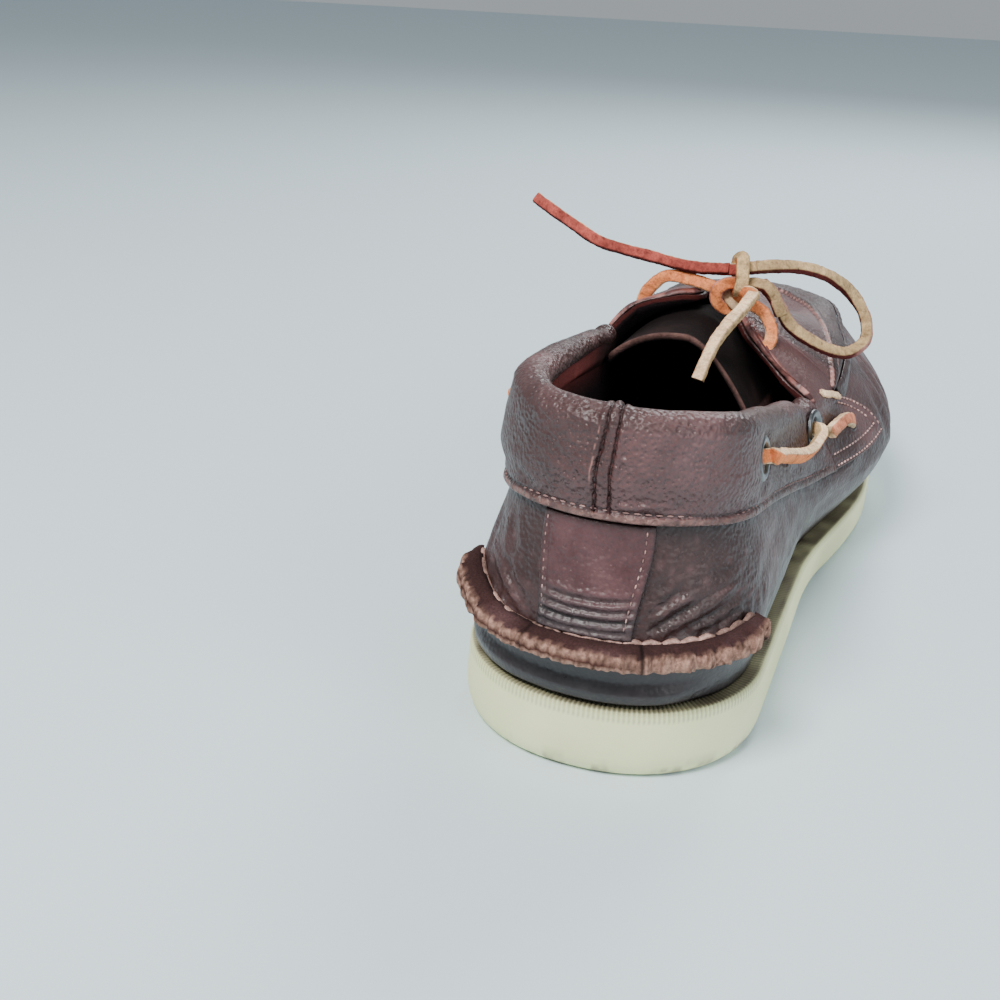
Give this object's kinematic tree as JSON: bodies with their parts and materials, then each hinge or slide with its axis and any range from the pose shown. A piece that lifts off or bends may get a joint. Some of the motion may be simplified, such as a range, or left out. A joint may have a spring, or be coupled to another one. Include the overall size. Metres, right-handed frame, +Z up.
{
  "type": "boat shoe",
  "caption": "Low moc-toe boat shoe for the right foot: hollow leather upper with a padded rolled collar, side lacing and tied leather lace on a flat pale rubber sole.",
  "frame": {"origin": "middle of the footprint of the shoe without its free lace, on the floor", "axes": "+Y from heel to toe, +X to the outer side of the right foot, +Z up"},
  "size_m": [0.1197, 0.3022, 0.1123],
  "materials": {
    "sole_rubber": "worn matt pale rubber",
    "leather": "waxy dark brown leather with fine grain",
    "lining": "red-brown suede",
    "raw_edge": "raw pinkish leather edge with pale thread",
    "eyelet_metal": "dark gunmetal",
    "lace_leather": "rawhide, orange at the cut edges"
  },
  "bodies": {
    "root": {"outsole": "sole_rubber", "upper": "leather", "insole": "lining", "tongue": "leather", "collar": "leather", "heel_patch": "leather", "heel_seam": "raw_edge", "outer_stay": "leather", "inner_stay": "leather", "plug": "leather", "moc_seam": "raw_edge", "eyelet_outer_rear": "eyelet_metal", "eyelet_outer_front": "eyelet_metal", "eyelet_inner_rear": "eyelet_metal", "eyelet_inner_front": "eyelet_metal", "lace_outer_side": "lace_leather", "lace_inner_side": "lace_leather", "lace_outer_front": "lace_leather", "lace_inner_front": "lace_leather", "lace_throat": "lace_leather", "lace_knot": "lace_leather", "lace_long_end": "lace_leather", "lace_big_loop": "lace_leather", "lace_short_end": "lace_leather"}
  },
  "joints": []
}
